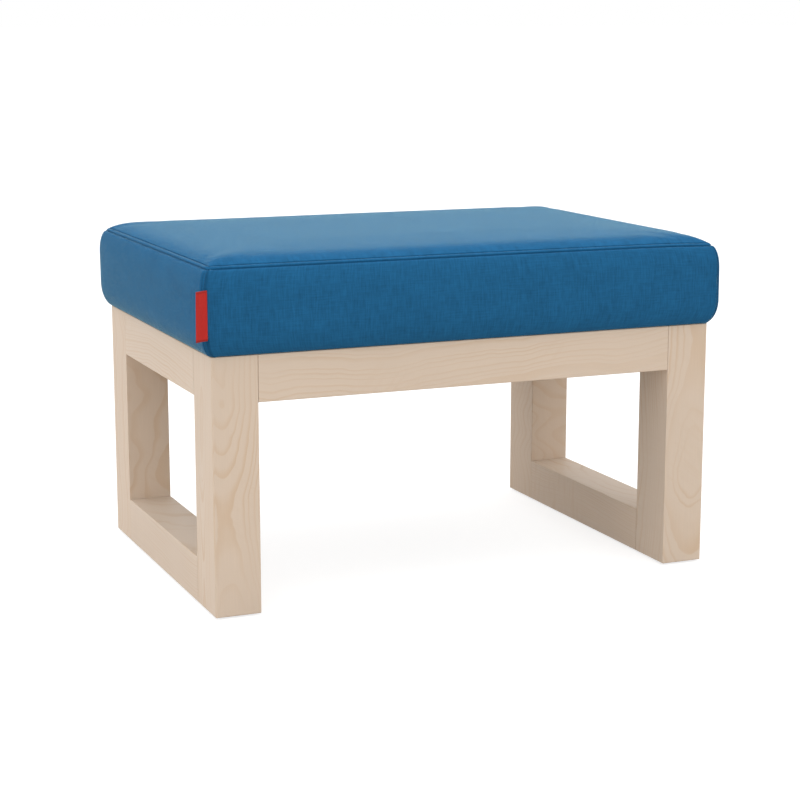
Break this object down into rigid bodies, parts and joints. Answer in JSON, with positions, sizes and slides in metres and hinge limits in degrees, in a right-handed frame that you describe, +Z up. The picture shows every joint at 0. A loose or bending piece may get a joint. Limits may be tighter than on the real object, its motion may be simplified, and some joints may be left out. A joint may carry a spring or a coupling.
{
  "type": "upholstered ottoman",
  "caption": "Rectangular padded ottoman for a nursery glider: a boxed fabric seat on two closed hardwood end loops joined by aprons, standing flat on the floor.",
  "frame": {"origin": "on the floor, in the middle of the whole object's outline; the folded tab at the front left corner makes that 5 mm and 3 mm from the middle of the timber frame", "axes": "+X along the length, to the right as seen from the front; +Y from the front to the back; +Z up"},
  "size_m": [0.6222, 0.4302, 0.3874],
  "materials": {
    "maple": "satin",
    "beech": "matte",
    "plywood": "matte",
    "foam": "matte",
    "fibre": "matte",
    "seat_fabric": "matte",
    "dust_cloth": "matte",
    "tab_ribbon": "matte",
    "zinc_steel": "satin",
    "nylon": "matte"
  },
  "bodies": {
    "root": {"back_apron": "maple", "back_apron_left_tenon": "beech", "back_apron_right_tenon": "beech", "back_left_apron_screw": "zinc_steel", "back_left_corner_block": "maple", "back_left_glide": "nylon", "back_left_glide_nail": "zinc_steel", "back_left_post": "maple", "back_left_post_screw": "zinc_steel", "back_left_seat_bolt": "zinc_steel", "back_left_tee_nut": "zinc_steel", "back_right_apron_screw": "zinc_steel", "back_right_corner_block": "maple", "back_right_glide": "nylon", "back_right_glide_nail": "zinc_steel", "back_right_post": "maple", "back_right_post_screw": "zinc_steel", "back_right_seat_bolt": "zinc_steel", "back_right_tee_nut": "zinc_steel", "dust_cover": "dust_cloth", "fibre_wrap": "fibre", "foam_core": "foam", "front_apron": "maple", "front_apron_left_tenon": "beech", "front_apron_right_tenon": "beech", "front_left_apron_screw": "zinc_steel", "front_left_corner_block": "maple", "front_left_glide": "nylon", "front_left_glide_nail": "zinc_steel", "front_left_post": "maple", "front_left_post_screw": "zinc_steel", "front_left_seat_bolt": "zinc_steel", "front_left_tee_nut": "zinc_steel", "front_right_apron_screw": "zinc_steel", "front_right_corner_block": "maple", "front_right_glide": "nylon", "front_right_glide_nail": "zinc_steel", "front_right_post": "maple", "front_right_post_screw": "zinc_steel", "front_right_seat_bolt": "zinc_steel", "front_right_tee_nut": "zinc_steel", "left_bottom_rail": "maple", "left_bottom_rail_back_tenon": "beech", "left_bottom_rail_front_tenon": "beech", "left_top_rail": "maple", "left_top_rail_back_tenon": "beech", "left_top_rail_front_tenon": "beech", "right_bottom_rail": "maple", "right_bottom_rail_back_tenon": "beech", "right_bottom_rail_front_tenon": "beech", "right_top_rail": "maple", "right_top_rail_back_tenon": "beech", "right_top_rail_front_tenon": "beech", "seam_tab": "tab_ribbon", "seat_board": "plywood", "seat_cover": "seat_fabric"}
  },
  "joints": []
}
